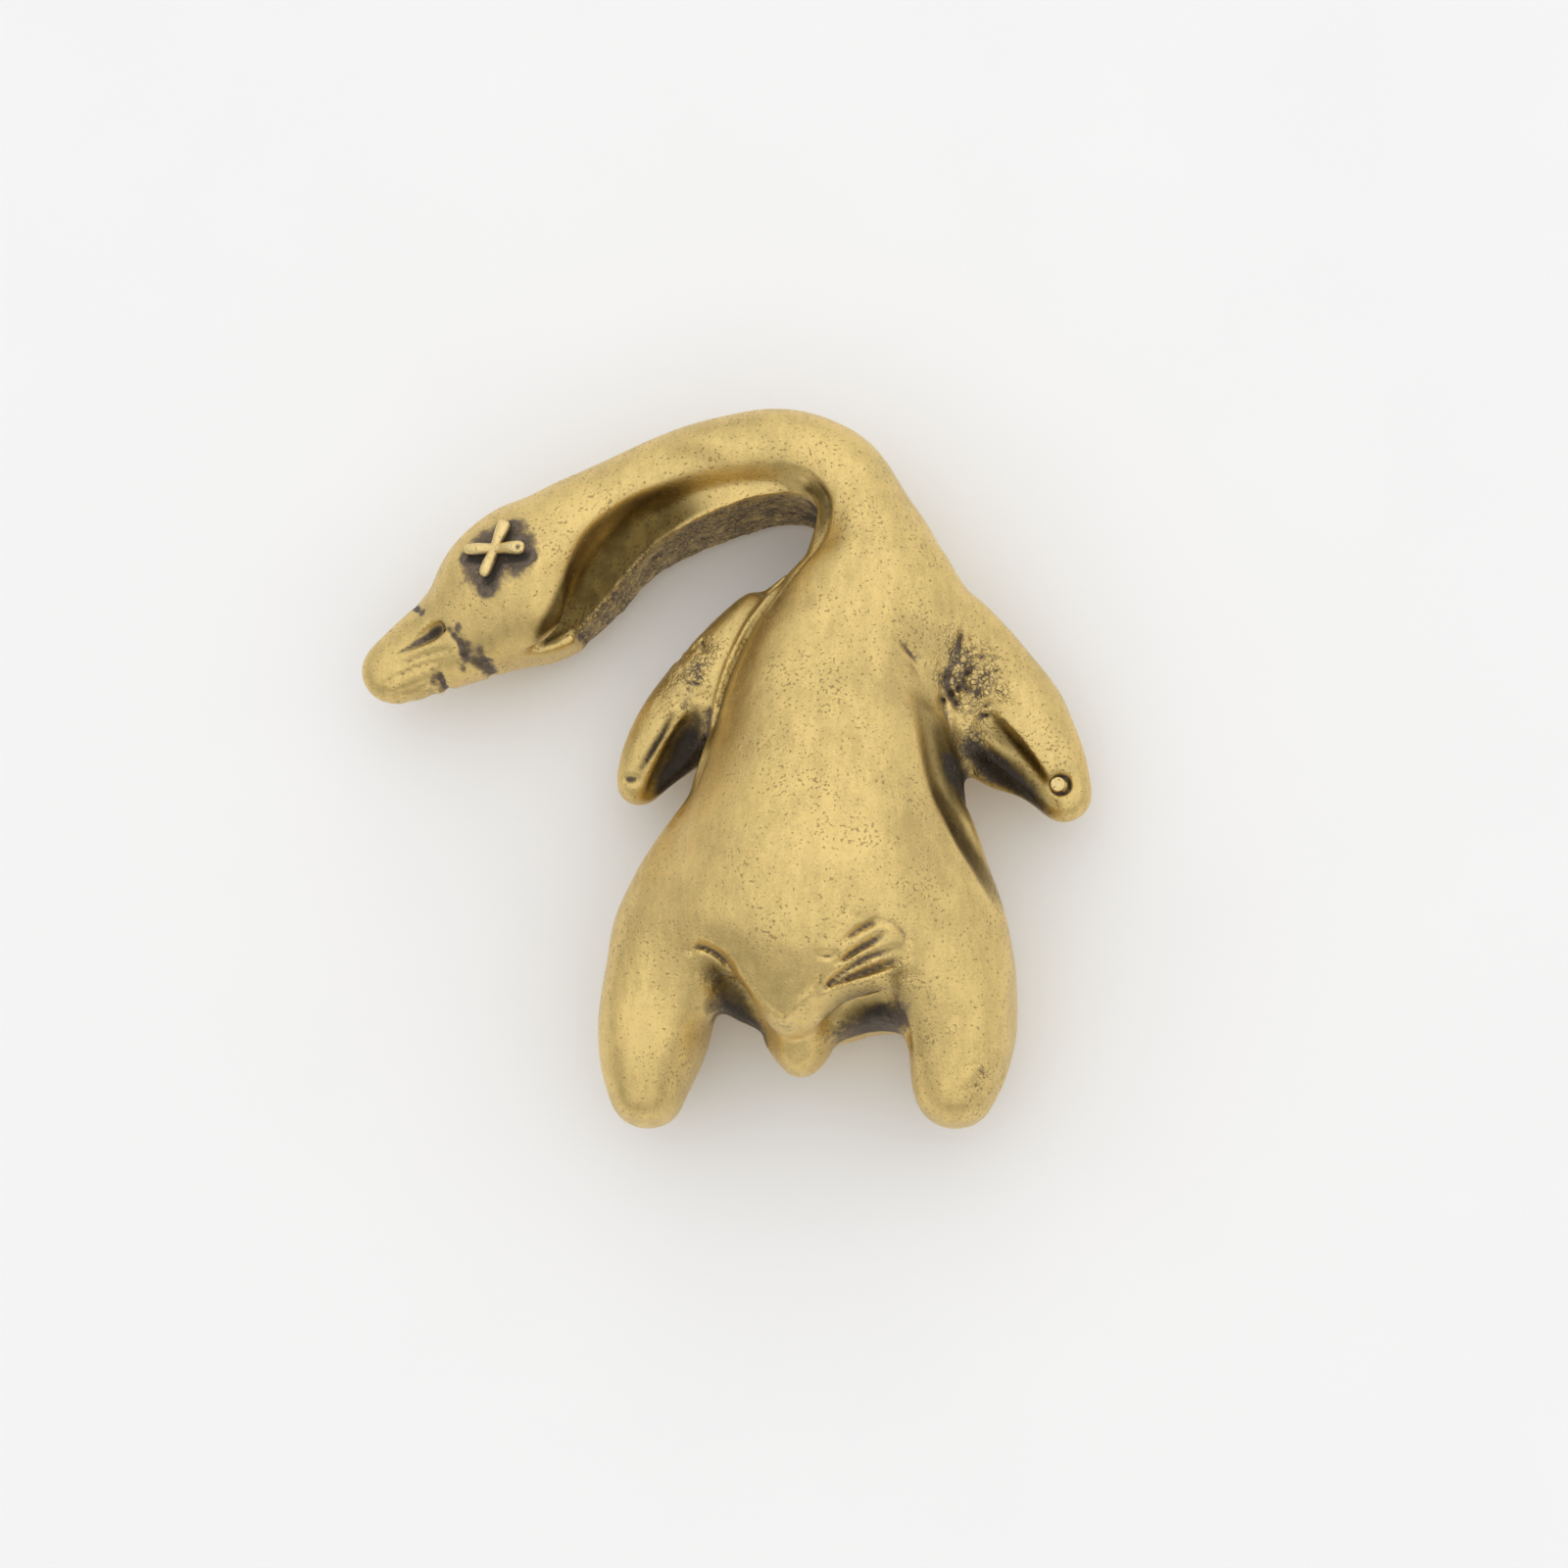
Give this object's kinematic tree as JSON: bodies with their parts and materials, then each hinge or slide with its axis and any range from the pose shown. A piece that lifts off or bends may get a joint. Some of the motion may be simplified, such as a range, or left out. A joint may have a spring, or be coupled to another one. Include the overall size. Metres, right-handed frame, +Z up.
{
  "type": "duck figurine",
  "caption": "Cast brass figurine of a plucked duck lying on its back, with its neck bent to one side, its head in profile, and wing, leg and tail stubs.",
  "frame": {"origin": "on the flat patch under the back, on which the figurine rests, below the middle of the torso", "axes": "+Z up from the table through the belly, +Y from the tail to the neck, +X towards the duck's own left wing; the neck bends towards -X"},
  "size_m": [0.0555, 0.055, 0.02],
  "materials": {
    "brass": "satin cast brass with fine pits and dark patina in the recesses",
    "bright_brass": "rubbed bright where the raised details are worn"
  },
  "bodies": {
    "root": {"torso": "brass", "neck": "brass", "head": "brass", "upper_bill": "brass", "lower_bill": "brass", "left_eye": "bright_brass", "right_eye": "bright_brass", "left_wing": "brass", "left_wing_bone": "bright_brass", "right_wing": "brass", "left_leg": "brass", "right_leg": "brass", "tail": "brass"}
  },
  "joints": []
}
